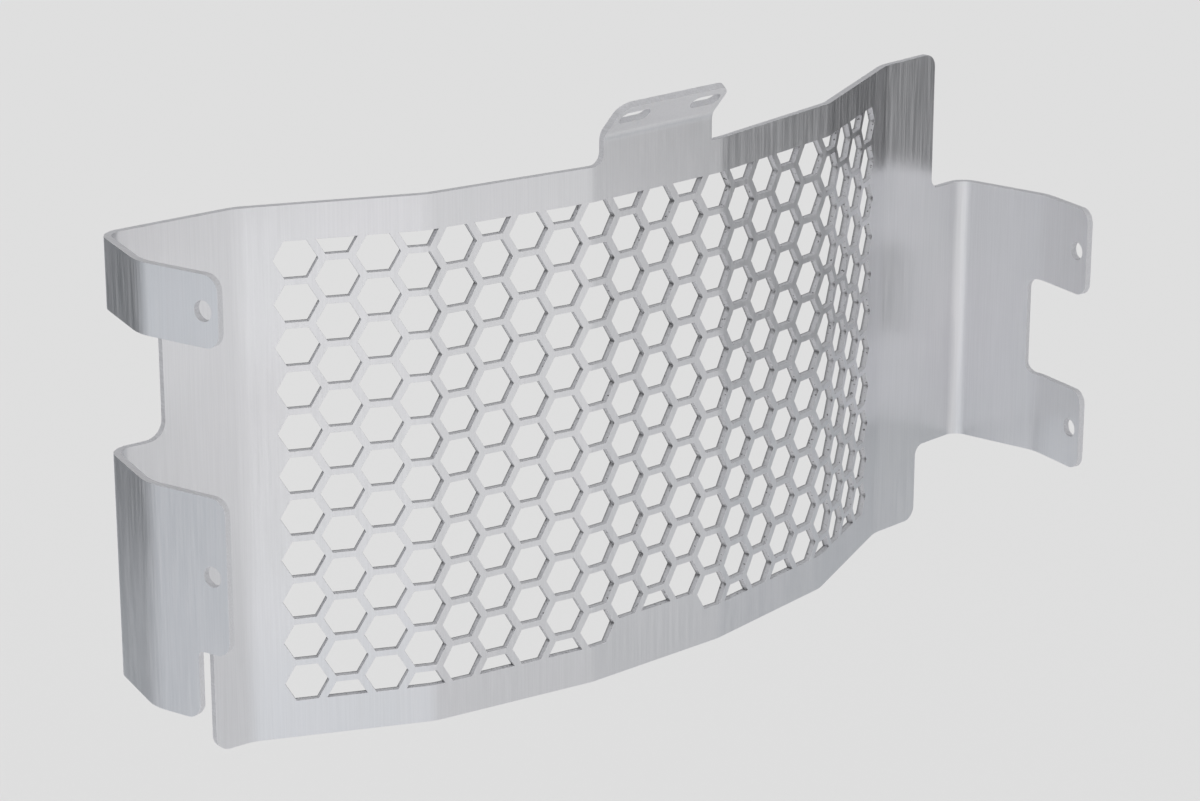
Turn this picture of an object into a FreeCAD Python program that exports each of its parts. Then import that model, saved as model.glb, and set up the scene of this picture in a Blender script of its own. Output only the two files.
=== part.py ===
import FreeCAD, Part
import Sketcher
import math
import os

# Motorcycle radiator guard, laser cut from one flat sheet and folded on upright lines.
# Seen from the radiator (from -Y), the mesh bulges towards the viewer, and the two wings
# and the top tab fold back towards the radiator, where their holes take the screws.
# +X runs to the right along the middle panel, +Y points away from the radiator and +Z up.
# The origin is on the bottom edge, at the middle of the panel's radiator face.

Vec = FreeCAD.Vector

# Driving dimensions, in millimetres and degrees
SIZES = {
    # the sheet
    "sheet_thickness": 2.3,
    "sheet_height": 176.0,
    # panels, from the middle outwards, between fold lines on the radiator face
    "middle_half_width": 28.5,
    "inner_panel_length": 59.7,
    "outer_panel_length": 59.8,
    "end_panel_length": 44.7,
    "left_wing_length": 30.0,
    "left_ear_length": 29.4,
    "right_wing_length": 34.7,
    "right_ear_length": 25.6,
    # folds, each the angle that the sheet turns there
    "inner_fold": 9.4,
    "outer_fold": 16.1,
    "reverse_fold": 21.7,
    "left_wing_fold": 79.1,
    "left_ear_fold": 29.7,
    "right_wing_fold": 82.5,
    "right_ear_fold": 22.3,
    "slack_radius": 15.0,
    "tight_radius": 5.5,
    # mesh of hexagons, with their points to the left and right
    "mesh_columns": 21,
    "mesh_rows": 11,
    "column_pitch": 13.0,
    "row_pitch": 14.0,
    "hexagon_height": 12.0,
    "hexagon_width": 14.3,
    "mesh_middle_height": 88.5,
    # left wing: a short upper ear and a long lower one that ends in a tongue
    "left_foot_height": 36.3,
    "left_lower_ear_height": 71.8,
    "left_upper_ear_height": 22.2,
    "left_notch_depth": 17.2,
    "left_foot_depth": 31.2,
    "tongue_height": 22.3,
    "tongue_width": 17.4,
    # right wing: one plate, with a notch between its two ears
    "right_foot_height": 28.4,
    "right_wing_height": 97.4,
    "right_lower_ear_height": 29.6,
    "right_shoulder_depth": 17.3,
    "right_foot_depth": 22.2,
    "right_notch_height": 36.0,
    "right_notch_depth": 5.1,
    # tab on the top edge, with two slots near its free edge
    "tab_width": 47.0,
    "tab_rise": 8.9,
    "tab_lean": 40.0,
    "tab_leaf_length": 14.1,
    "slot_spacing": 30.5,
    "slot_length": 12.5,
    "slot_width": 5.2,
    # screw holes and rounded corners
    "screw_hole": 6.4,
    "edge_distance": 5.6,
    "corner_radius": 5.0,
    "root_radius": 4.0,
    "notch_radius": 6.0,
    "step_radius": 2.0,
}

doc = FreeCAD.newDocument("RadiatorGuard")
sheet = doc.addObject("Spreadsheet::Sheet", "Sizes")
for row, (name, value) in enumerate(SIZES.items(), start=1):
    sheet.set("A%d" % row, name)
    sheet.set("B%d" % row, str(value))
    sheet.setAlias("B%d" % row, name)
doc.recompute()


def size(name):
    """The value of one driving dimension."""
    return float(getattr(sheet, name))


thickness = size("sheet_thickness")
height = size("sheet_height")


class Leg:
    """One flat panel of the folded sheet.

    start is the fold line where the panel begins, on the radiator face, and heading is
    the way it runs, both seen from above. side is +1 right of the middle and -1 left.
    """

    def __init__(self, start, heading, length, side):
        self.start = start
        self.heading = heading
        self.length = length
        self.side = side

    def direction(self):
        angle = math.radians(self.heading)
        return Vec(self.side * math.cos(angle), math.sin(angle), 0)

    def normal(self):
        """Across the sheet, from the radiator face to the wheel face."""
        angle = math.radians(self.heading)
        return Vec(-self.side * math.sin(angle), math.cos(angle), 0)

    def point(self, along, up=0.0):
        """A point on the radiator face, this far along the panel and this high."""
        return self.start + self.direction() * along + Vec(0, 0, up)


def walk(side, lengths, turns):
    """The panels of one half of the sheet, from the middle outwards."""
    legs = []
    start = Vec(0, 0, 0)
    heading = 0.0
    for length, turn in zip(lengths, turns + [0.0]):
        leg = Leg(start, heading, length, side)
        legs.append(leg)
        start = leg.point(length)
        heading += turn
    return legs


mesh_lengths = [size("middle_half_width"), size("inner_panel_length"), size("outer_panel_length")]
mesh_turns = [size("inner_fold"), size("outer_fold"), -size("reverse_fold")]
right_legs = walk(
    1,
    mesh_lengths + [size("end_panel_length"), size("right_wing_length"), size("right_ear_length")],
    mesh_turns + [-size("right_wing_fold"), -size("right_ear_fold")],
)
left_legs = walk(
    -1,
    mesh_lengths + [size("end_panel_length"), size("left_wing_length"), size("left_ear_length")],
    mesh_turns + [-size("left_wing_fold"), -size("left_ear_fold")],
)
left_end, left_wing, left_ear = left_legs[3:]
right_end, right_wing, right_ear = right_legs[3:]

# Plan of the folded sheet
# Each fold is a round bend: the tight ones carry the wings, the slack ones do the rest.
WING_FOLD = 3


def face_points(legs, offset):
    """Corners of one face in plan, offset from the radiator face, from the middle outwards.

    Each is the point before the bend, the bend's middle and the point after it.
    """
    corners = []
    for index in range(len(legs) - 1):
        before, after = legs[index], legs[index + 1]
        turn = after.heading - before.heading
        half = math.radians(abs(turn)) / 2
        middle = before.normal() + after.normal()
        middle.normalize()
        apex = after.start + middle * (offset / math.cos(half))
        inner_radius = size("tight_radius") if index == WING_FOLD else size("slack_radius")
        inward = 1 if turn > 0 else -1
        on_inside = (offset > 0) == (turn > 0)
        radius = inner_radius if on_inside else inner_radius + thickness
        reach = radius * math.tan(half)
        lift = radius * (1 / math.cos(half) - 1)
        corners.append((
            apex - before.direction() * reach,
            apex + middle * (inward * lift),
            apex + after.direction() * reach,
        ))
    return corners


def face_chain(offset):
    """Lines and bends of one whole face in plan, from the left free end to the right one."""
    left = face_points(left_legs, offset)
    right = face_points(right_legs, offset)
    corners = [corner[::-1] for corner in reversed(left)] + right
    first = left_ear.point(left_ear.length) + left_ear.normal() * offset
    last = right_ear.point(right_ear.length) + right_ear.normal() * offset
    pieces = []
    here = first
    for bend_start, bend_middle, bend_end in corners:
        pieces.append(Part.LineSegment(here, bend_start))
        pieces.append(Part.Arc(bend_start, bend_middle, bend_end))
        here = bend_end
    pieces.append(Part.LineSegment(here, last))
    return pieces, first, last


def origin_plane(body, role):
    """One of the body's own origin planes."""
    for feature in body.Origin.OriginFeatures:
        if feature.Role == role:
            return feature
    raise ValueError("no origin plane " + role)


def plane_sketch(body, name, role):
    """An empty sketch on one of the body's origin planes."""
    sketch = body.newObject("Sketcher::SketchObject", name)
    sketch.AttachmentSupport = (origin_plane(body, role), [""])
    sketch.MapMode = "FlatFace"
    return sketch


def leg_sketch(body, name, leg):
    """A sketch on a panel's radiator face: x along the panel to the right, y up."""
    sketch = plane_sketch(body, name, "XZ_Plane")
    place = Vec(leg.start.x, 0, -leg.start.y)
    turn = FreeCAD.Rotation(Vec(0, 1, 0), leg.side * leg.heading)
    sketch.AttachmentOffset = FreeCAD.Placement(place, turn)
    return sketch


def add_polygon(sketch, corners):
    """A closed outline of straight lines."""
    first = sketch.GeometryCount
    count = len(corners)
    for index in range(count):
        start, end = corners[index], corners[(index + 1) % count]
        sketch.addGeometry(Part.LineSegment(Vec(*start, 0), Vec(*end, 0)), False)
    return first


def add_rectangle(sketch, left, right, low, high):
    """A rectangle whose sides stay level and upright."""
    first = add_polygon(sketch, [(left, low), (right, low), (right, high), (left, high)])
    for step in range(4):
        following = first + (step + 1) % 4
        sketch.addConstraint(
            Sketcher.Constraint("Coincident", first + step, 2, following, 1))
    for step in range(4):
        kind = "Horizontal" if step % 2 == 0 else "Vertical"
        sketch.addConstraint(Sketcher.Constraint(kind, first + step))


def pocket(body, sketch, name, depth=None):
    """Cut the sketch through the sheet, both ways, and check that something went."""
    before = body.Tip.Shape.Volume
    cut = body.newObject("PartDesign::Pocket", name)
    cut.Profile = sketch
    cut.SideType = "Symmetric"
    if depth is None:
        cut.Type = "ThroughAll"
    else:
        cut.Type = "Length"
        cut.setExpression("Length", depth)
    doc.recompute()
    if cut.Shape.Volume >= before - 0.01:
        raise ValueError(name + " cuts nothing")
    return cut


# The folded blank
guard = doc.addObject("PartDesign::Body", "GuardSheet")
guard.Label = "guard_sheet"

near_face, left_near, right_near = face_chain(0.0)
far_face, left_far, right_far = face_chain(thickness)
plan = plane_sketch(guard, "FoldedPlan", "XY_Plane")
for piece in near_face + far_face:
    plan.addGeometry(piece, False)
plan.addGeometry(Part.LineSegment(left_near, left_far), False)
plan.addGeometry(Part.LineSegment(right_near, right_far), False)

blank = guard.newObject("PartDesign::Pad", "FoldedBlank")
blank.Profile = plan
blank.setExpression("Length", "Sizes.sheet_height")
doc.recompute()

# Top tab: it stands up from the middle panel, then leans back over the radiator
lean = math.radians(size("tab_lean"))
tab_fold_height = height + size("tab_rise")
leaf_length = size("tab_leaf_length")


def leaf_point(up, across):
    """A point of the tab's side view, this far up the leaf and through its thickness."""
    y = -up * math.sin(lean) + across * math.cos(lean)
    z = tab_fold_height + up * math.cos(lean) + across * math.sin(lean)
    return Vec(y, z, 0)


def tab_bend(across, radius):
    """The bend between the tab's upright root and its leaf, on one face."""
    apex = Vec(across, tab_fold_height + across * math.tan(lean / 2), 0)
    reach = radius * math.tan(lean / 2)
    lift = radius * (1 / math.cos(lean / 2) - 1)
    inward = Vec(-math.cos(lean / 2), -math.sin(lean / 2), 0)
    leaf_way = Vec(-math.sin(lean), math.cos(lean), 0)
    return apex - Vec(0, reach, 0), apex + inward * lift, apex + leaf_way * reach


near_bend = tab_bend(0.0, size("tight_radius"))
far_bend = tab_bend(thickness, size("tight_radius") + thickness)
root_low = height - thickness
tab_side = plane_sketch(guard, "TabSide", "YZ_Plane")
for piece in (
    Part.LineSegment(Vec(0, root_low, 0), near_bend[0]),
    Part.Arc(*near_bend),
    Part.LineSegment(near_bend[2], leaf_point(leaf_length, 0)),
    Part.LineSegment(leaf_point(leaf_length, 0), leaf_point(leaf_length, thickness)),
    Part.LineSegment(leaf_point(leaf_length, thickness), far_bend[2]),
    Part.Arc(*far_bend),
    Part.LineSegment(far_bend[0], Vec(thickness, root_low, 0)),
    Part.LineSegment(Vec(thickness, root_low, 0), Vec(0, root_low, 0)),
):
    tab_side.addGeometry(piece, False)
tab = guard.newObject("PartDesign::Pad", "TopTab")
tab.Profile = tab_side
tab.SideType = "Symmetric"
tab.setExpression("Length", "Sizes.tab_width")
doc.recompute()

# Outline cuts. Beyond marks a place safely past the end of the sheet.
beyond = size("left_wing_length") + size("right_wing_length")
lower_ear_top = size("left_foot_height") + size("left_lower_ear_height")
upper_ear_low = height - size("left_upper_ear_height")
tongue_top = size("left_foot_height") + size("tongue_height")
wing_top = size("right_foot_height") + size("right_wing_height")
notch_low = size("right_foot_height") + size("right_lower_ear_height")
notch_high = notch_low + size("right_notch_height")

left_notch_at = left_end.length - size("left_notch_depth")
left_foot_at = left_end.length - size("left_foot_depth")
right_shoulder_at = right_end.length - size("right_shoulder_depth")
right_foot_at = right_end.length - size("right_foot_depth")
right_notch_at = right_wing.length - size("right_notch_depth")

# name, panel, where the cut starts along it, its low and high levels, depth
CUTS = [
    ("LeftNotch", left_end, left_notch_at, lower_ear_top, upper_ear_low, None),
    ("LeftFoot", left_end, left_foot_at, -beyond, size("left_foot_height"), None),
    ("TongueStep", left_ear, size("tongue_width"), 0.0, tongue_top, "4 * Sizes.sheet_thickness"),
    ("RightShoulder", right_end, right_shoulder_at, wing_top, height + beyond, None),
    ("RightFoot", right_end, right_foot_at, -beyond, size("right_foot_height"), None),
    ("RightNotch", right_wing, right_notch_at, notch_low, notch_high,
     "2 * Sizes.right_ear_length"),
]
for name, leg, start, low, high, depth in CUTS:
    outline = leg_sketch(guard, name + "Outline", leg)
    ends = sorted((leg.side * start, leg.side * (leg.length + beyond)))
    add_rectangle(outline, ends[0], ends[1], low, high)
    pocket(guard, outline, name, depth)

# Rounded corners, each an edge that runs through the sheet's thickness
left_ear_end, right_ear_end = left_ear.length, right_ear.length
tab_half = size("tab_width") / 2
across_leaf = Vec(0, math.cos(lean), math.sin(lean))
leaf_end = leaf_point(leaf_length, 0)
CORNERS = {
    "corner_radius": [
        (left_ear.point(left_ear_end, height), left_ear.normal()),
        (left_ear.point(left_ear_end, upper_ear_low), left_ear.normal()),
        (left_ear.point(left_ear_end, lower_ear_top), left_ear.normal()),
        (left_ear.point(left_ear_end, tongue_top), left_ear.normal()),
        (left_ear.point(size("tongue_width"), size("left_foot_height")), left_ear.normal()),
        (left_end.point(left_foot_at), left_end.normal()),
        (right_end.point(right_shoulder_at, height), right_end.normal()),
        (right_end.point(right_foot_at), right_end.normal()),
        (right_ear.point(right_ear_end, wing_top), right_ear.normal()),
        (right_ear.point(right_ear_end, notch_high), right_ear.normal()),
        (right_ear.point(right_ear_end, notch_low), right_ear.normal()),
        (right_ear.point(right_ear_end, size("right_foot_height")), right_ear.normal()),
        (Vec(-tab_half, leaf_end.x, leaf_end.y), across_leaf),
        (Vec(tab_half, leaf_end.x, leaf_end.y), across_leaf),
    ],
    "root_radius": [
        (left_end.point(left_foot_at, size("left_foot_height")), left_end.normal()),
        (right_end.point(right_shoulder_at, wing_top), right_end.normal()),
        (right_end.point(right_foot_at, size("right_foot_height")), right_end.normal()),
        (right_wing.point(right_notch_at, notch_low), right_wing.normal()),
        (right_wing.point(right_notch_at, notch_high), right_wing.normal()),
        (Vec(-tab_half, 0, height), Vec(0, 1, 0)),
    ],
    "notch_radius": [
        (left_end.point(left_notch_at, lower_ear_top), left_end.normal()),
        (left_end.point(left_notch_at, upper_ear_low), left_end.normal()),
    ],
    "step_radius": [
        (left_ear.point(size("tongue_width"), tongue_top), left_ear.normal()),
    ],
}


def corner_edge(shape, point, across):
    """Name of the edge that starts at this point and runs straight through the sheet."""
    for number, edge in enumerate(shape.Edges, start=1):
        if len(edge.Vertexes) != 2:
            continue
        ends = [vertex.Point for vertex in edge.Vertexes]
        way = ends[1] - ends[0]
        if way.Length < 1e-6 or way.cross(across).Length > 1e-3 * way.Length:
            continue
        if min((end - point).Length for end in ends) < 0.01:
            return "Edge%d" % number
    raise ValueError("no corner at %s" % point)


for name, places in CORNERS.items():
    base = guard.Tip
    edges = [corner_edge(base.Shape, point, across) for point, across in places]
    fillet = guard.newObject("PartDesign::Fillet", "Round_" + name)
    fillet.Base = (base, edges)
    fillet.setExpression("Radius", "Sizes." + name)
    doc.recompute()

# Screw holes, each in the middle of its ear's height and near the free edge
HOLES = [
    ("LeftUpperHole", left_ear, (upper_ear_low + height) / 2),
    ("LeftLowerHole", left_ear, (tongue_top + lower_ear_top) / 2),
    ("RightUpperHole", right_ear, (notch_high + wing_top) / 2),
    ("RightLowerHole", right_ear, (size("right_foot_height") + notch_low) / 2),
]
for name, leg, level in HOLES:
    round_hole = leg_sketch(guard, name + "Circle", leg)
    centre = Vec(leg.side * (leg.length - size("edge_distance")), level, 0)
    round_hole.addGeometry(Part.Circle(centre, Vec(0, 0, 1), size("screw_hole") / 2), False)
    round_hole.addConstraint(Sketcher.Constraint("Diameter", 0, size("screw_hole")))
    round_hole.setExpression("Constraints[0]", "Sizes.screw_hole")
    pocket(guard, round_hole, name, "4 * Sizes.sheet_thickness")

# Slots in the tab's leaf
slots = plane_sketch(guard, "TabSlots", "XZ_Plane")
slots.AttachmentOffset = FreeCAD.Placement(
    Vec(0, tab_fold_height, 0), FreeCAD.Rotation(Vec(1, 0, 0), size("tab_lean")))
slot_radius = size("slot_width") / 2
slot_reach = size("slot_length") / 2 - slot_radius
slot_level = leaf_length - size("edge_distance")
for side in (-1, 1):
    middle = side * size("slot_spacing") / 2
    left, right = middle - slot_reach, middle + slot_reach
    low, high = slot_level - slot_radius, slot_level + slot_radius
    slots.addGeometry(Part.LineSegment(Vec(left, low, 0), Vec(right, low, 0)), False)
    slots.addGeometry(
        Part.Arc(Vec(right, low, 0), Vec(right + slot_radius, slot_level, 0), Vec(right, high, 0)),
        False)
    slots.addGeometry(Part.LineSegment(Vec(right, high, 0), Vec(left, high, 0)), False)
    slots.addGeometry(
        Part.Arc(Vec(left, high, 0), Vec(left - slot_radius, slot_level, 0), Vec(left, low, 0)),
        False)
pocket(guard, slots, "TabSlotCut", "4 * Sizes.sheet_thickness")

# Mesh. Odd columns hold whole hexagons, and the columns between sit half a pitch lower
# and end in cut ones, in line with the outer flats of their neighbours. In the middle of
# the bottom edge the mesh stops half a pitch higher, across three columns.
columns = int(size("mesh_columns"))
rows = int(size("mesh_rows"))
half_flat = size("hexagon_height") / 2
half_width = size("hexagon_width") / 2
mesh_middle = size("mesh_middle_height")
mesh_reach = (rows - 1) / 2 * size("row_pitch") + half_flat
RAISED_COLUMNS = 1
FOLD_OVERLAP = 0.02


def clip(corners, axis, limit, keep_low):
    """The part of a convex outline on one side of a straight limit."""
    kept = []
    for index, corner in enumerate(corners):
        previous = corners[index - 1]
        inside = (corner[axis] <= limit) == keep_low or corner[axis] == limit
        was_inside = (previous[axis] <= limit) == keep_low or previous[axis] == limit
        if inside != was_inside:
            share = (limit - previous[axis]) / (corner[axis] - previous[axis])
            kept.append(tuple(p + share * (c - p) for p, c in zip(previous, corner)))
        if inside:
            kept.append(corner)
    return kept


def hexagon(x, z):
    """Corners of a hexagon with its points to the left and right."""
    return [
        (x + half_width, z),
        (x + half_width / 2, z + half_flat),
        (x - half_width / 2, z + half_flat),
        (x - half_width, z),
        (x - half_width / 2, z - half_flat),
        (x + half_width / 2, z - half_flat),
    ]


def mesh_outlines():
    """Every opening of the mesh, on the flat sheet: along from the middle, and height."""
    outlines = []
    for column in range(columns):
        steps = column - (columns - 1) / 2
        along = steps * size("column_pitch")
        shifted = column % 2 == 1
        count = rows + 1 if shifted else rows
        top = mesh_middle + mesh_reach
        low = mesh_middle - mesh_reach
        if abs(steps) <= RAISED_COLUMNS:
            low += size("row_pitch") / 2
        for row in range(count):
            level = mesh_middle + ((count - 1) / 2 - row) * size("row_pitch")
            outline = clip(hexagon(along, level), 1, top, True)
            outline = clip(outline, 1, low, False)
            if len(outline) > 2 and max(c[1] for c in outline) - low > 0.1:
                outlines.append(outline)
    return outlines


def origin_of(leg):
    """Where the panel's sketch begins, along the flat sheet from the middle."""
    legs = right_legs if leg.side > 0 else left_legs
    place = sum(other.length for other in legs[:legs.index(leg)])
    return leg.side * place


def mesh_on_leg(leg, start, end):
    """The openings that fall on one panel, in that panel's own sketch."""
    found = []
    for outline in outlines:
        kept = clip(outline, 0, end + FOLD_OVERLAP, True)
        kept = clip(kept, 0, start - FOLD_OVERLAP, False) if len(kept) > 2 else []
        if len(kept) > 2 and max(c[0] for c in kept) - min(c[0] for c in kept) > 0.1:
            found.append([(x - origin_of(leg), z) for x, z in kept])
    return found


outlines = mesh_outlines()
half = size("middle_half_width")
inner = half + size("inner_panel_length")
outer = inner + size("outer_panel_length")
MESH_PANELS = [
    ("LeftOuterMesh", left_legs[2], -outer, -inner),
    ("LeftInnerMesh", left_legs[1], -inner, -half),
    ("MiddleMesh", right_legs[0], -half, half),
    ("RightInnerMesh", right_legs[1], half, inner),
    ("RightOuterMesh", right_legs[2], inner, outer),
]
for name, leg, start, end in MESH_PANELS:
    openings = leg_sketch(guard, name + "Openings", leg)
    for outline in mesh_on_leg(leg, start, end):
        add_polygon(openings, outline)
    pocket(guard, openings, name, "4 * Sizes.sheet_thickness")

# Check and write
guard.Tip = doc.getObject("RightOuterMesh")
doc.recompute()
for thing in doc.Objects:
    for bad in ("Invalid", "Error"):
        if bad in thing.State:
            raise RuntimeError("%s is %s" % (thing.Name, bad))

os.makedirs("parts", exist_ok=True)
for body in (guard,):
    shape = body.Shape
    if shape.isNull() or not shape.isValid():
        raise RuntimeError(body.Label + " has no valid shape")
    shape.exportStep(os.path.join("parts", body.Label + ".step"))
    print(body.Label, "solids", len(shape.Solids), "faces", len(shape.Faces),
          "volume %.0f mm3" % shape.Volume, "box", shape.BoundBox)
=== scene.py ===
# %% [markdown]
# # A radiator guard for a motorcycle, dressed for the studio
# The guard is one laser-cut sheet of aluminium with eleven folds. Ten of them stand
# upright and shape the mesh and the two wings, and a level one leans the tab on top.
# The CAD model already has every fold, flap and hexagon at its true size. Blender adds
# what CAD leaves out: edges that are a little rounded, the grain of the brushed face,
# the ripples and burns of the cut walls, and the light of a photo studio.

import math

import bmesh
import bpy
from mathutils import Matrix, Vector


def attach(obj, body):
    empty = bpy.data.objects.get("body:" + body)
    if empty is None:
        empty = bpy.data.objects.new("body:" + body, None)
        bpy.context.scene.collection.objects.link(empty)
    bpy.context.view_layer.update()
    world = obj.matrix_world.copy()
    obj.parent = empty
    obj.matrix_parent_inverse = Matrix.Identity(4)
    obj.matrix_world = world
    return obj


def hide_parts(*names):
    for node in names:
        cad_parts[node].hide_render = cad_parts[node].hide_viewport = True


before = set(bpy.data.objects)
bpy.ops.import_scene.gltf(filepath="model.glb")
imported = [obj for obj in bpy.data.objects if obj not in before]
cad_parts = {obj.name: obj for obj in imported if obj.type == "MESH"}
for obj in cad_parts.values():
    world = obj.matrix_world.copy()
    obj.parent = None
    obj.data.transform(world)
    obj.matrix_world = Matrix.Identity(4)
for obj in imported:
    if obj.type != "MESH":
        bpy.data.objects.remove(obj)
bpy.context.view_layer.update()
folded_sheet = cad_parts["guard_sheet"]

MM = 0.001

# %% [markdown]
# ## The camera
# The guard was photographed from its radiator side, from the left and from a little
# above, with a long lens, so its far end is only slightly smaller than its near end.
# The place and the turn of the camera were solved from the mesh, whose openings
# repeat at a known pitch. Two angles are easier to read than a rotation matrix, so
# the camera is aimed by a heading and a tilt. A camera that isn't turned looks
# straight down, so it is first raised to the level.

# %% Aim the camera
CAMERA_PLACE = Vector((-757.1, -822.7, 467.8)) * MM
CAMERA_HEADING = math.radians(41.66)
CAMERA_TILT = math.radians(18.58)
LENS_LENGTH = 107.8
SENSOR_WIDTH = 36
NEAREST_SEEN = 0.05
FARTHEST_SEEN = 20
UP_TO_LEVEL = math.radians(90)


def aimed_matrix(place, heading, tilt):
    """A camera that looks along heading, from +Y towards +X, and down by tilt."""
    turned = Matrix.Rotation(-heading, 4, "Z")
    raised = Matrix.Rotation(UP_TO_LEVEL - tilt, 4, "X")
    return Matrix.Translation(place) @ (turned @ raised)


camera_data = bpy.data.cameras.new("studio_camera")
camera_data.lens = LENS_LENGTH
camera_data.sensor_width = SENSOR_WIDTH
camera_data.clip_start = NEAREST_SEEN
camera_data.clip_end = FARTHEST_SEEN
camera = bpy.data.objects.new("studio_camera", camera_data)
camera.matrix_world = aimed_matrix(CAMERA_PLACE, CAMERA_HEADING, CAMERA_TILT)
bpy.context.scene.collection.objects.link(camera)
bpy.context.scene.camera = camera
print("camera lens:", LENS_LENGTH, "mm")

# %% [markdown]
# ## The cut edges
# A laser leaves a square edge, and deburring rounds it by about a fifth of a
# millimetre. That narrow round is too fine for the CAD model, but it catches the light
# as a thin bright rim. The finished piece is a copy of the CAD sheet. Its triangles
# are loose, so they are merged first, and those that lie in one plane are joined.

# %% Merge the triangles of the sheet
FLAT_ANGLE = math.radians(0.5)
SAME_POINT = 0.001 * MM

sheet_mesh = bmesh.new()
sheet_mesh.from_mesh(folded_sheet.data)
bmesh.ops.remove_doubles(sheet_mesh, verts=sheet_mesh.verts, dist=SAME_POINT)
bmesh.ops.dissolve_limit(
    sheet_mesh,
    angle_limit=FLAT_ANGLE,
    verts=sheet_mesh.verts,
    edges=sheet_mesh.edges,
)
print("faces after merging:", len(sheet_mesh.faces))

# %% [markdown]
# The face and the wall need two finishes, so each polygon has to know which it is.
# A bend turns by only a few degrees from one facet to the next, while a wall meets a
# face at a right angle. So a walk over the mesh that never crosses a sharp edge, and
# that starts from the largest polygon, colours one whole side of the sheet. The points
# of each side keep in an attribute whether that side faces the wheel, and the finish of
# the walls reads it to paint shade that deepens towards the wheel side inside the mesh.
# The number of a finish is its place in the list of materials that the piece gets.

# %% Tell the brushed faces from the cut walls
CREASE_ANGLE = math.radians(40)
FACE_FINISH = 0
WALL_FINISH = 1


def walk_over(start, may_step):
    """All the polygons that a walk from start reaches by steps that are allowed."""
    reached = {start}
    waiting = [start]
    while waiting:
        polygon = waiting.pop()
        for edge in polygon.edges:
            for neighbour in edge.link_faces:
                if neighbour not in reached and may_step(edge, neighbour):
                    reached.add(neighbour)
                    waiting.append(neighbour)
    return reached


def crosses_no_crease(edge, neighbour):
    return edge.calc_face_angle(math.pi) <= CREASE_ANGLE


def is_wall(polygon):
    return polygon.material_index == WALL_FINISH


for polygon in sheet_mesh.faces:
    polygon.material_index = WALL_FINISH
wheel_side = sheet_mesh.verts.layers.float.new("wheel_side")
for _ in ("one side", "the other side"):
    largest = max(filter(is_wall, sheet_mesh.faces), key=lambda p: p.calc_area())
    faces_wheel = largest.normal.y > 0
    for polygon in walk_over(largest, crosses_no_crease):
        polygon.material_index = FACE_FINISH
        for point in polygon.verts:
            point[wheel_side] = float(faces_wheel)
cut_count = sum(map(is_wall, sheet_mesh.faces))
brushed_count = len(sheet_mesh.faces) - cut_count
print("brushed polygons:", brushed_count, "cut polygons:", cut_count)

# %% [markdown]
# Now the rims are known: they are the edges where a brushed polygon meets a cut one.
# Only these are bevelled, in two small steps. Edges that still turn sharply are marked
# sharp, so that the wall and the face are each shaded on their own.

# %% Round the rims
RIM_ROUND = 0.18 * MM
RIM_STEPS = 2

rims = [
    edge
    for edge in sheet_mesh.edges
    if len({p.material_index for p in edge.link_faces}) == 2
]
bmesh.ops.bevel(
    sheet_mesh,
    geom=rims,
    offset=RIM_ROUND,
    offset_type="OFFSET",
    affect="EDGES",
    segments=RIM_STEPS,
    profile=0.5,
    material=-1,
    clamp_overlap=True,
)
for polygon in sheet_mesh.faces:
    polygon.smooth = True
for edge in sheet_mesh.edges:
    edge.smooth = edge.calc_face_angle(0) < CREASE_ANGLE
print("rims rounded:", len(rims), "faces now:", len(sheet_mesh.faces))

# %% [markdown]
# A laser pierces the sheet at one corner of an opening and then runs round it. The
# piercing leaves a dark fleck at that corner. On this guard it's the right corner of
# every hexagon. The walls of one opening hang together, so a walk finds them, and the
# nearness to the right corner is written into an attribute that their finish reads
# later. A second attribute tells the openings of the mesh from the outline and from
# the holes for screws and straps, whose walls stay clean and are painted paler, as
# painted light. The outline is too tall to be an opening, and a round hole has many
# more polygons than a hexagon.

# %% Mark the corner where the laser pierced each opening
TALLEST_OPENING = 16 * MM
PIERCED_REACH = 7 * MM
ROUND_HOLE_WALLS = 100

pierced = sheet_mesh.verts.layers.float.new("pierced")
mesh_opening = sheet_mesh.verts.layers.float.new("mesh_opening")
remaining = set(filter(is_wall, sheet_mesh.faces))
openings = 0
while remaining:
    walls = walk_over(remaining.pop(), lambda edge, neighbour: is_wall(neighbour))
    remaining -= walls
    points = {point for polygon in walls for point in polygon.verts}
    heights = [point.co.z for point in points]
    if max(heights) - min(heights) > TALLEST_OPENING or len(walls) > ROUND_HOLE_WALLS:
        continue
    openings += 1
    right_corner = max(point.co.x for point in points)
    for point in points:
        point[mesh_opening] = 1
        point[pierced] = max(0, 1 - (right_corner - point.co.x) / PIERCED_REACH)
print("openings with a pierced corner:", openings)

# %% [markdown]
# The copy now takes the place of the CAD sheet. The narrow round on each rim would
# pull the shading of the wide flat panels with it. The Weighted Normal modifier lets
# the largest polygons decide the shading, so the panels stay flat and even.

# %% Put the finished sheet in place of the CAD one
LARGE_POLYGONS_DECIDE = 100

finished_data = bpy.data.meshes.new("finished_sheet")
sheet_mesh.to_mesh(finished_data)
sheet_mesh.free()
finished_sheet = bpy.data.objects.new("finished_sheet", finished_data)
bpy.context.scene.collection.objects.link(finished_sheet)
even_normals = finished_sheet.modifiers.new("even_normals", "WEIGHTED_NORMAL")
even_normals.keep_sharp = True
even_normals.weight = LARGE_POLYGONS_DECIDE
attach(finished_sheet, "root")
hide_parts("guard_sheet")
print("finished sheet:", len(finished_data.vertices), "vertices")

# %% [markdown]
# ## The brushed grain
# The belt that brushed this sheet ran up and down, and left scratches far longer than
# they are wide. Noise that is squeezed across the scratches and stretched along them
# gives the same streaks. All the panels stand upright, so one stretch along Z serves
# the whole sheet. The streaks are a node group, because the faces and the walls both
# use them, each with its own sizes.

# %% Build the streak group
NOISE_ROUGHNESS = 0.6


def link(tree, start, end):
    tree.links.new(start, end)


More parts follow.
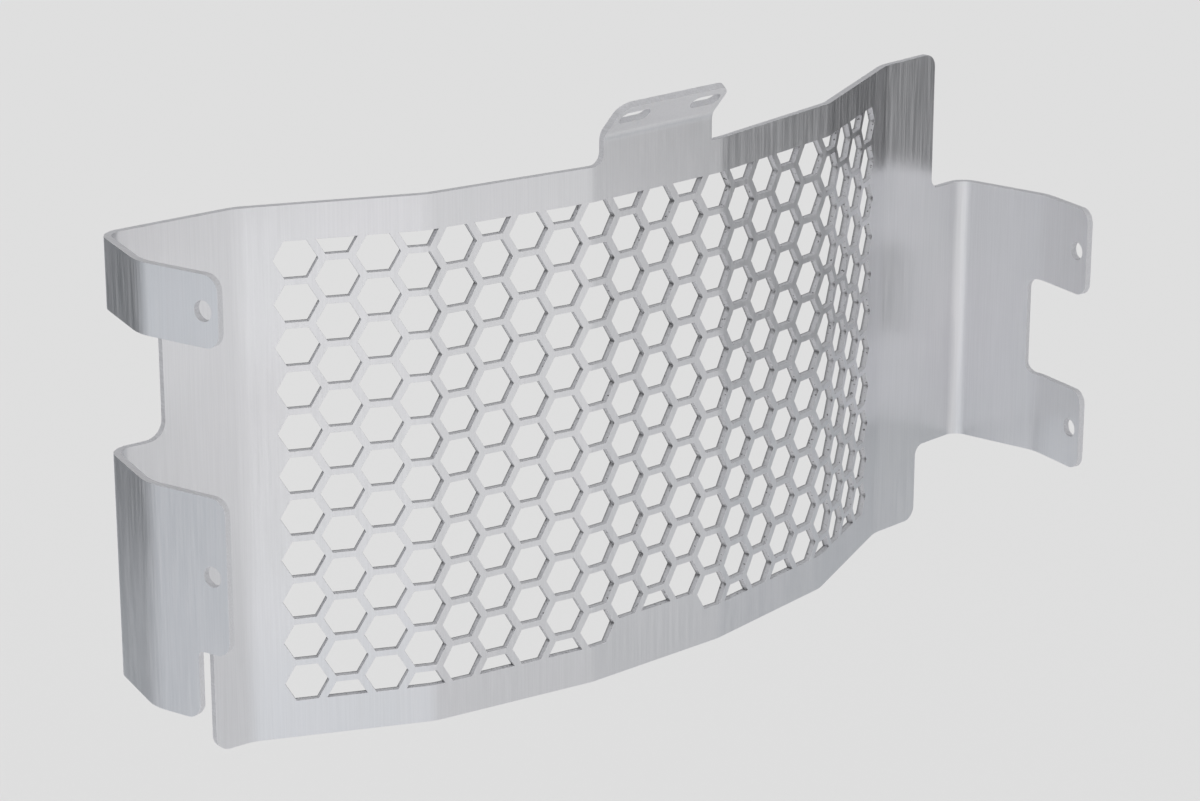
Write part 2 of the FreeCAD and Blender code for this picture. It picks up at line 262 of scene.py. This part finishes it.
def node(tree, kind, **settings):
    """A new shader node with its settings, in the tree."""
    made = tree.nodes.new(kind)
    for name, value in settings.items():
        setattr(made, name, value)
    return made


streak_group = bpy.data.node_groups.new("streaks", "ShaderNodeTree")
for name, way, kind in (
    ("Place", "INPUT", "NodeSocketVector"),
    ("Streaks per metre", "INPUT", "NodeSocketVector"),
    ("Detail", "INPUT", "NodeSocketFloat"),
    ("Streak", "OUTPUT", "NodeSocketFloat"),
):
    streak_group.interface.new_socket(name, in_out=way, socket_type=kind)
group_in = node(streak_group, "NodeGroupInput")
group_out = node(streak_group, "NodeGroupOutput")
stretch = node(streak_group, "ShaderNodeVectorMath", operation="MULTIPLY")
noise = node(streak_group, "ShaderNodeTexNoise")
noise.inputs["Scale"].default_value = 1
noise.inputs["Roughness"].default_value = NOISE_ROUGHNESS
link(streak_group, group_in.outputs["Place"], stretch.inputs[0])
link(streak_group, group_in.outputs["Streaks per metre"], stretch.inputs[1])
link(streak_group, stretch.outputs["Vector"], noise.inputs["Vector"])
link(streak_group, group_in.outputs["Detail"], noise.inputs["Detail"])
link(streak_group, noise.outputs["Fac"], group_out.inputs["Streak"])
print("group made:", streak_group.name)

# %% [markdown]
# Both finishes are put together from the same few steps, and each step gets a short
# helper, so that a finish reads as a list of what was done to the metal. Three helpers
# fetch what a finish starts from: a shader, some streaks, or an attribute of the mesh.

# %% Helpers that start a finish
def new_material(name):
    """A new material, its node tree and its Principled shader."""
    material = bpy.data.materials.new(name)
    material.use_nodes = True
    tree = material.node_tree
    return material, tree, tree.nodes["Principled BSDF"]


def streaks(tree, place, per_metre, detail):
    """The streak group in a material, with its own sizes."""
    made = node(tree, "ShaderNodeGroup", node_tree=streak_group)
    made.inputs["Streaks per metre"].default_value = per_metre
    made.inputs["Detail"].default_value = detail
    link(tree, place, made.inputs["Place"])
    return made.outputs["Streak"]


def attribute(tree, name):
    """What the points of the mesh keep under this name."""
    return node(tree, "ShaderNodeAttribute", attribute_name=name).outputs["Fac"]


written = [kept.name for kept in finished_data.attributes if kept.data_type == "FLOAT"]
print("attributes that a finish can read:", written)

# %% [markdown]
# Four more helpers change what was fetched. Noise seldom comes near 0 or 1, so a
# spread reads only a middle part of its range and stretches that part to the values
# that the finish needs. A mix takes its two colours and its factor as they come, as
# values of their own or from another node.

# %% Helpers that shape a finish
MIDDLE_HALF = (0.25, 0.75)


def spread(tree, value, to, across=MIDDLE_HALF):
    """The value, moved from its range across to the range to."""
    made = node(tree, "ShaderNodeMapRange")
    made.inputs["From Min"].default_value, made.inputs["From Max"].default_value = across
    made.inputs["To Min"].default_value, made.inputs["To Max"].default_value = to
    link(tree, value, made.inputs["Value"])
    return made.outputs["Result"]


def mixed(tree, first, second, factor=1, blend_type="MIX"):
    """Two colours in one."""
    made = node(tree, "ShaderNodeMix", data_type="RGBA", blend_type=blend_type)
    for name, given in (("A", first), ("B", second), ("Factor", factor)):
        if isinstance(given, bpy.types.NodeSocket):
            link(tree, given, made.inputs[name])
        else:
            made.inputs[name].default_value = given
    return made.outputs["Result"]


def combined(tree, operation, first, second):
    """Two masks in one."""
    made = node(tree, "ShaderNodeMath", operation=operation)
    link(tree, first, made.inputs[0])
    link(tree, second, made.inputs[1])
    return made.outputs[0]


def bumped(tree, height, strength, depth, under=None):
    """The normal of ridges as deep as depth, on top of the bumps under them."""
    made = node(tree, "ShaderNodeBump")
    made.inputs["Strength"].default_value = strength
    made.inputs["Distance"].default_value = depth
    link(tree, height, made.inputs["Height"])
    if under is not None:
        link(tree, under, made.inputs["Normal"])
    return made.outputs["Normal"]


print("a spread reads noise from", MIDDLE_HALF[0], "to", MIDDLE_HALF[1])

# %% [markdown]
# ## The brushed face
# The belt left fine hairlines and coarser scratches, so the face gets both. They lie
# half a millimetre to a millimetre apart and are a few centimetres long. Wide faint
# clouds keep the tone from being the same all over.

# %% The streaks of the brushed face
FINE_PER_METRE, FINE_DETAIL = (1900, 1900, 35), 2
COARSE_PER_METRE, COARSE_DETAIL = (1300, 1300, 40), 4
CLOUDS_PER_METRE, CLOUD_DETAIL = (28, 28, 22), 2

brushed, tree, shader = new_material("brushed_aluminium")
place = node(tree, "ShaderNodeTexCoord").outputs["Object"]
fine = streaks(tree, place, FINE_PER_METRE, FINE_DETAIL)
coarse = streaks(tree, place, COARSE_PER_METRE, COARSE_DETAIL)
cloud = streaks(tree, place, CLOUDS_PER_METRE, CLOUD_DETAIL)
print("finish begun:", brushed.name)

# %% [markdown]
# Bare metal mirrors the room, so a streak that only changed the colour would vanish
# where the mirror image is dark. A real scratch also scatters a little light to all
# sides. So the streaks lower Metallic a little as well, which shows the grain in the
# dark places, and the bumps and the roughness take care of the light ones.

# %% The tone and the shine of the brushed face
COOL_ALUMINIUM = (0.775, 0.778, 0.795, 1)
WARM_ALUMINIUM = (0.798, 0.793, 0.815, 1)
FINE_TONES = {"to": (0.98, 1.02), "across": (0.35, 0.65)}
COARSE_ROUGHNESS = {"to": (0.31, 0.37), "across": (0.3, 0.7)}
COARSE_METALLIC = {"to": (1, 0.86), "across": (0.45, 0.60)}

tone = mixed(tree, COOL_ALUMINIUM, WARM_ALUMINIUM, spread(tree, cloud, (0, 1)))
scored = mixed(tree, tone, spread(tree, fine, **FINE_TONES), blend_type="MULTIPLY")
link(tree, scored, shader.inputs["Base Color"])
link(tree, spread(tree, coarse, **COARSE_ROUGHNESS), shader.inputs["Roughness"])
link(tree, spread(tree, coarse, **COARSE_METALLIC), shader.inputs["Metallic"])
print("roughness of the face:", COARSE_ROUGHNESS["to"])

# %% [markdown]
# Scratches that all run one way blur the mirror image across them and keep it sharp
# along them, and that is what Anisotropic does. It takes the way of the grain from
# Tangent. The scratches are bumps too, and the hairlines lie on top of them.

# %% The grain and the scratches of the brushed face
GRAIN_ALONG_Z = (0, 0, 1)
BLURRED_SIDEWAYS = 0.88
A_QUARTER_TURN = 0.25
SCRATCH_DEPTH = 0.01 * MM
SCRATCH_STRENGTH = 1
HAIRLINE_STRENGTH = 0.5

shader.inputs["Anisotropic"].default_value = BLURRED_SIDEWAYS
shader.inputs["Anisotropic Rotation"].default_value = A_QUARTER_TURN
along_grain = node(tree, "ShaderNodeCombineXYZ")
for axis, amount in zip("XYZ", GRAIN_ALONG_Z):
    along_grain.inputs[axis].default_value = amount
link(tree, along_grain.outputs[0], shader.inputs["Tangent"])

scratches = bumped(tree, coarse, SCRATCH_STRENGTH, SCRATCH_DEPTH)
hairlines = bumped(tree, fine, HAIRLINE_STRENGTH, SCRATCH_DEPTH, under=scratches)
link(tree, hairlines, shader.inputs["Normal"])
finished_data.materials.append(brushed)
print("finish made:", brushed.name)

# %% [markdown]
# ## The walls of the cut
# The wall of a laser cut is matt, with fine ripples through the thickness. Inside the
# mesh the walls are painted a little darker, and darker still towards the wheel side,
# as painted shade deep in each opening. The walls of the outline, the screw holes and
# the strap slots are painted paler, as painted light, and are clean. The attributes
# from before say which is which.

# %% The tone of the laser-cut wall
RIPPLES_PER_METRE, RIPPLE_DETAIL = (2200, 60, 2200), 2
# painted light on the walls of the outline and the holes, painted shade on the walls of
# the mesh
OUTLINE_WALL_PAINTED_LIGHT = (0.76, 0.76, 0.78, 1)
MESH_WALL_PAINTED_SHADE = (0.73, 0.73, 0.75, 1)
RIPPLE_TONES = {"to": (0.93, 1.07), "across": (0.3, 0.7)}
# painted shade: the walls of the mesh darken to half near the wheel side, deep in each
# opening
WHEEL_SIDE_PAINTED_SHADE = {"to": (1, 0.5), "across": (0.6, 0.95)}

cut, tree, shader = new_material("laser_cut_wall")
place = node(tree, "ShaderNodeTexCoord").outputs["Object"]
ripple = streaks(tree, place, RIPPLES_PER_METRE, RIPPLE_DETAIL)
in_mesh = attribute(tree, "mesh_opening")
near_wheel = attribute(tree, "wheel_side")

# paler walls outside the mesh are painted light, darker walls in the mesh are painted
# shade
tone = mixed(tree, OUTLINE_WALL_PAINTED_LIGHT, MESH_WALL_PAINTED_SHADE, in_mesh)
rippled = mixed(tree, tone, spread(tree, ripple, **RIPPLE_TONES), blend_type="MULTIPLY")
# painted shade deep in the openings of the mesh, towards the wheel side
deep_painted_shade = spread(tree, near_wheel, **WHEEL_SIDE_PAINTED_SHADE)
with_deep_shade = mixed(tree, rippled, deep_painted_shade, in_mesh, blend_type="MULTIPLY")
print("finish begun:", cut.name)

# %% [markdown]
# The walls of the mesh also keep the burns of the piercing: a fleck right at the
# marked corner, and a few dots of spatter round it. Both are noise that is let through
# near that corner only, so no two openings are the same.

# %% The burns at the pierced corners
SPATTER_PER_METRE, SPATTER_DETAIL = (1100, 700, 1100), 2
BURNT = (0.10, 0.10, 0.105, 1)
FLECK_REACH = {"to": (0, 0.8), "across": (0.88, 0.97)}
FLECK_SPATTER = {"to": (0.3, 1), "across": (0.4, 0.55)}
DOT_REACH = {"to": (0, 1), "across": (0.3, 0.5)}
DOT_SPATTER = {"to": (0, 0.9), "across": (0.64, 0.70)}

spatter = streaks(tree, place, SPATTER_PER_METRE, SPATTER_DETAIL)
near_corner = attribute(tree, "pierced")
fleck = combined(
    tree,
    "MULTIPLY",
    spread(tree, near_corner, **FLECK_REACH),
    spread(tree, spatter, **FLECK_SPATTER),
)
dots = combined(
    tree,
    "MULTIPLY",
    spread(tree, near_corner, **DOT_REACH),
    spread(tree, spatter, **DOT_SPATTER),
)
marked = mixed(tree, with_deep_shade, BURNT, combined(tree, "MAXIMUM", fleck, dots))
link(tree, marked, shader.inputs["Base Color"])
print("a fleck covers at most", FLECK_REACH["to"][1], "of the metal under it")

# %% [markdown]
# The melt froze as fine ridges. They make the wall much rougher than the brushed face,
# and a wall that scatters most of its light is only partly a mirror, so Metallic is
# lower here.

# %% The ridges of the laser-cut wall
RIPPLE_ROUGHNESS = {"to": (0.80, 0.95)}
WALL_METALLIC = 0.65
RIDGE_DEPTH = 0.03 * MM
RIDGE_STRENGTH = 0.5

link(tree, spread(tree, ripple, **RIPPLE_ROUGHNESS), shader.inputs["Roughness"])
shader.inputs["Metallic"].default_value = WALL_METALLIC
ridges = bumped(tree, ripple, RIDGE_STRENGTH, RIDGE_DEPTH)
link(tree, ridges, shader.inputs["Normal"])
finished_data.materials.append(cut)
print("finish made:", cut.name)

# %% [markdown]
# ## The studio
# Bare metal has almost no colour of its own: it shows the room. In the photograph the
# left of the guard is as pale as the backdrop, the top of its right end and the outer
# sides of its left flaps are dark, and the right wing is mirrored in the panel beside
# it. So the guard stood over a pale table, with white walls on its left and in front,
# a pale one behind it, and the dark of the room on the right and above.
#
# The camera sees a plain pale backdrop. The world is that backdrop for the camera, for
# mirror images and for whatever is seen through glass. For everything matt it is an
# even light, at which a colour shows as it is written.

# %% The backdrop
BACKDROP_GREY = 0.737
EVEN_LIGHT = 1


def grey(level):
    """An opaque grey."""
    return (level, level, level, 1)


scene = bpy.context.scene
scene.view_settings.view_transform = "Standard"
world = bpy.data.worlds.new("pale_backdrop")
world.use_nodes = True
tree = world.node_tree
backdrop = tree.nodes["Background"]
backdrop.inputs["Color"].default_value = grey(1)
ray = node(tree, "ShaderNodeLightPath").outputs
seen = combined(tree, "MAXIMUM", ray["Is Camera Ray"], ray["Is Glossy Ray"])
seen_through = combined(tree, "MAXIMUM", seen, ray["Is Transmission Ray"])
strength = spread(tree, seen_through, to=(EVEN_LIGHT, BACKDROP_GREY), across=(0, 1))
link(tree, strength, backdrop.inputs["Strength"])
scene.world = world
print("backdrop grey:", BACKDROP_GREY)

# %% [markdown]
# The floor is wide, matt and painted in the grey of the backdrop, so the two meet
# without a line, and the floor differs only where the guard shades it. It lies well
# below the guard, because the photograph shows no shadow close to it.

# %% The floor
FLOOR_LEVEL = -0.35
FLOOR_HALF_WIDTH = 6


def add_to_stage(name, mesh, material):
    """A piece of the studio from a finished bmesh."""
    data = bpy.data.meshes.new(name)
    mesh.to_mesh(data)
    mesh.free()
    data.materials.append(material)
    made = bpy.data.objects.new(name, data)
    scene.collection.objects.link(made)
    return made


floor_paint, tree, shader = new_material("floor_paint")
shader.inputs["Base Color"].default_value = grey(BACKDROP_GREY)
shader.inputs["Roughness"].default_value = 1
shader.inputs["Specular IOR Level"].default_value = 0

floor_mesh = bmesh.new()
bmesh.ops.create_grid(
    floor_mesh,
    x_segments=1,
    y_segments=1,
    size=FLOOR_HALF_WIDTH,
    matrix=Matrix.Translation((0, 0, FLOOR_LEVEL)),
)
add_to_stage("studio_floor", floor_mesh, floor_paint)
print("floor at", FLOOR_LEVEL, "m")

# %% [markdown]
# ## The boards
# The white walls of the studio are built as boards that glow. A lamp would light the
# floor as well and throw shadows that the photograph doesn't have. So only mirror
# images see the boards, and the matt part of everything stays lit by the world.

# %% Glowing paint
WHITE = (1, 1, 1, 1)
COOL = (0.96, 1, 1.04, 1)
NIGHT = (0.93, 1, 1.07, 1)


def glowing(name, level, tint):
    """Paint that glows evenly, so that its mirror image has exactly this level."""
    material = bpy.data.materials.new(name)
    material.use_nodes = True
    tree = material.node_tree
    tree.nodes.clear()
    glow = node(tree, "ShaderNodeEmission")
    glow.inputs["Color"].default_value = tint
    glow.inputs["Strength"].default_value = level
    output = node(tree, "ShaderNodeOutputMaterial")
    link(tree, glow.outputs[0], output.inputs["Surface"])
    material.cycles.emission_sampling = "NONE"
    return material


def show_to_mirrors_only(made):
    """Hide a piece of the studio from the camera, from matt surfaces and from shade."""
    made.visible_camera = False
    made.visible_diffuse = False
    made.visible_shadow = False


print("tints ready: white", WHITE[:3], "cool", COOL[:3], "night", NIGHT[:3])

# %% [markdown]
# The boards stand on one ring round the guard, and each has the brightness that its
# mirror image needs. That was worked out by lighting one board at a time and comparing
# the sum with the photograph. The boards on the left and at the back are a little
# bluer, like daylight. A few narrow ones are much darker than their neighbours: they
# give the outer sides of the flaps and the top of the right end their dark stripes.

# %% The list of the boards
# name, from and to (degrees from +X towards +Y), low and high (metres), level, tint
BOARDS = [
    ("board_left_foot", 120, 165, -0.35, -0.1, 0.48, COOL),
    ("board_back_left", 120, 150, -0.1, 0.0, 0.12, COOL),
    ("board_left_edge", 150, 165, -0.1, 0.0, 0.54, COOL),
    ("board_left_high", 150, 210, 0.0, 0.1, 0.82, COOL),
    ("board_left", 165, 210, -0.2, 0.0, 0.73, COOL),
    ("board_left_low", 165, 255, -0.35, -0.2, 0.86, COOL),
    ("board_front_low", 255, 315, -0.35, -0.2, 0.62, WHITE),
    ("board_front_left", 210, 240, -0.2, 0.1, 1.1, WHITE),
    ("board_front", 240, 270, -0.2, 0.0, 0.83, WHITE),
    ("board_front_high", 240, 285, 0.0, 0.1, 0.8, WHITE),
    ("board_front_right", 270, 300, -0.2, 0.0, 0.86, WHITE),
    ("board_front_right_high", 285, 300, 0.0, 0.1, 1.0, WHITE),
    ("board_wing_side", 300, 315, -0.2, 0.1, 0.72, WHITE),
    ("board_right_low", 315, 390, -0.35, -0.1, 0.49, COOL),
    ("board_right", 315, 330, -0.1, 0.0, 0.5, COOL),
    ("board_right_high", 315, 330, 0.0, 0.1, 0.12, COOL),
    ("board_back", 30, 105, -0.35, 0.1, 0.75, COOL),
    ("board_upper_front", 180, 315, 0.1, 0.7, 0.55, WHITE),
]
print("boards in the list:", len(BOARDS))

# %% [markdown]
# A board that follows a ring is an upright edge, turned about the middle of the ring.
# The spin operator does that in steps of five degrees.

# %% Stand the boards round the guard
RING_RADIUS = 0.6
DEGREES_PER_STEP = 5


def board(name, start, end, low, high, level, tint, radius=RING_RADIUS):
    """One upright board that follows a ring from start to end."""
    mesh = bmesh.new()
    turned = Matrix.Rotation(math.radians(start), 3, "Z")
    ends = [mesh.verts.new(turned @ Vector((radius, 0, z))) for z in (low, high)]
    edge = mesh.edges.new(ends)
    bmesh.ops.spin(
        mesh,
        geom=[*ends, edge],
        cent=(0, 0, 0),
        axis=(0, 0, 1),
        angle=math.radians(end - start),
        steps=round((end - start) / DEGREES_PER_STEP),
    )
    show_to_mirrors_only(add_to_stage(name, mesh, glowing(name + "_paint", level, tint)))


for row in BOARDS:
    board(*row)
print("boards set:", len(BOARDS), "at", RING_RADIUS, "m from the guard")

# %% [markdown]
# Between the boards the guard mirrors the room itself. The room is two more rings just
# behind the boards, dark at the height of the guard and dim above it, under a soft
# ceiling that gives the level top edges a little light.

# %% The room behind the boards
BEHIND_THE_BOARDS = 1.02 * RING_RADIUS
DARK = 0.03
DIM = 0.14
DIM_FROM = 0.1
ROOM_TOP = 0.7
CEILING = 0.3
CEILING_SIDES = 48

board("dark_room", 0, 360, FLOOR_LEVEL, DIM_FROM, DARK, NIGHT, BEHIND_THE_BOARDS)
board("dim_room", 0, 360, DIM_FROM, ROOM_TOP, DIM, NIGHT, BEHIND_THE_BOARDS)

ceiling_mesh = bmesh.new()
bmesh.ops.create_circle(
    ceiling_mesh,
    cap_ends=True,
    segments=CEILING_SIDES,
    radius=BEHIND_THE_BOARDS,
    matrix=Matrix.Translation((0, 0, ROOM_TOP)),
)
ceiling_cloth = glowing("top_softbox_cloth", CEILING, WHITE)
show_to_mirrors_only(add_to_stage("top_softbox", ceiling_mesh, ceiling_cloth))
print("room from", FLOOR_LEVEL, "to", ROOM_TOP, "m")
